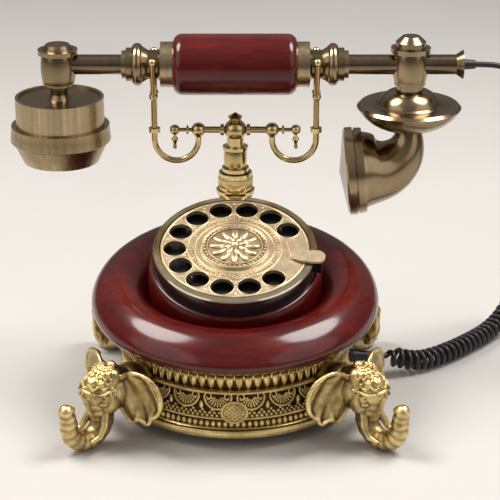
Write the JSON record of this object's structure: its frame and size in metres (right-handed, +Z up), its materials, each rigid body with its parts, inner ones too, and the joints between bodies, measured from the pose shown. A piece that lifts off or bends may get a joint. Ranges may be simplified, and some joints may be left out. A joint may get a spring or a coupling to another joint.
{
  "type": "rotary telephone",
  "caption": "Antique-style desk telephone with a rotary dial on a turned wooden body, a cast base on elephant-head feet, a brass cradle and a handset on a curly cord.",
  "frame": {"origin": "middle of the overall box without the cord, on the floor", "axes": "+X to the right along the handset, -Y to the front where the dial faces, +Z up"},
  "size_m": [0.3161, 0.1871, 0.2045],
  "materials": {
    "antique_gold": "antiqued satin, cast relief",
    "polished_brass": "polished",
    "brown_brass": "browned, polished",
    "pale_gold": "pale antique, engraved",
    "bright_bezel": "bright polished",
    "mahogany": "glossy varnish",
    "black_gloss": "gloss black",
    "cord_rubber": "semi-gloss black",
    "steel": "plain",
    "inner_plastic": "plain"
  },
  "bodies": {
    "root": {"base_casting": "antique_gold", "elephant_front_left": "antique_gold", "elephant_front_right": "antique_gold", "elephant_rear_left": "antique_gold", "elephant_rear_right": "antique_gold", "bottom_plate": "steel", "bottom_screws": "steel", "wood_body": "mahogany", "dial_housing": "black_gloss", "bezel_ring": "bright_bezel", "dial_plate": "black_gloss", "finger_stop": "polished_brass", "dial_frame": "steel", "pulse_contacts": "inner_plastic", "return_spring": "steel", "neck_base": "polished_brass", "knurled_collar": "polished_brass", "hook_spring": "steel", "hook_switch": "inner_plastic", "main_board": "inner_plastic", "gongs": "polished_brass", "ringer_coil": "inner_plastic", "ringer_frame": "steel", "line_jack": "inner_plastic", "base_gland": "cord_rubber", "handset_cord": "cord_rubber"},
    "dial": {"finger_wheel": "pale_gold", "dial_medallion": "pale_gold", "dial_spindle": "steel", "main_gear": "polished_brass"},
    "governor": {"governor": "steel"},
    "striker": {"striker": "steel"},
    "cradle": {"hook_rod": "steel", "neck_barrel": "polished_brass", "cross_boss": "polished_brass", "finial": "polished_brass", "cradle_bar": "polished_brass", "cradle_hook_left": "polished_brass", "cradle_hook_right": "polished_brass", "pendants": "polished_brass"},
    "handset": {"handset_grip": "mahogany", "handset_tube": "brown_brass", "ferrule_left": "polished_brass", "ferrule_right": "polished_brass", "baluster_left": "brown_brass", "baluster_right": "brown_brass", "ear_socket": "brown_brass", "ear_cap": "brown_brass", "ear_drum": "brown_brass", "ear_ring": "brown_brass", "receiver_capsule": "inner_plastic", "mouth_socket": "brown_brass", "mouth_top_cap": "brown_brass", "mouth_disc": "brown_brass", "horn": "brown_brass", "mouth_cap": "brown_brass", "microphone_capsule": "inner_plastic", "end_tube": "brown_brass", "handset_gland": "cord_rubber"}
  },
  "joints": [
    {"name": "dial_turn", "type": "hinge", "parent": "root", "child": "dial", "pos_m": [0, -0.012, 0.097], "axis": [0, 0.3256, -0.9455], "range_deg": [0, 315], "stiffness_Nm_per_rad": 0.01, "springref_deg": -28.65},
    {"name": "governor_spin", "type": "hinge", "parent": "root", "child": "governor", "pos_m": [0.02079, -0.00065, 0.10091], "axis": [0, 0.3256, -0.9455], "range_deg": [-1260, 0]},
    {"name": "hook_travel", "type": "slide", "parent": "root", "child": "cradle", "axis": [0, 0, 1], "range_m": [0, 0.006], "stiffness_N_per_m": 300, "springref_m": 0.018, "deforming": ["hook_spring", "handset_cord"]},
    {"name": "handset_lift", "type": "slide", "parent": "cradle", "child": "handset", "axis": [0, 0, 1], "range_m": [0, 0.06], "deforming": ["handset_cord"]},
    {"name": "striker_swing", "type": "hinge", "parent": "root", "child": "striker", "pos_m": [0, -0.006, 0.02], "axis": [0, 0, 1], "range_deg": [-5, 5]}
  ],
  "couplings": [
    {"joint": "governor_spin", "follows": "dial_turn", "ratio": -4}
  ]
}
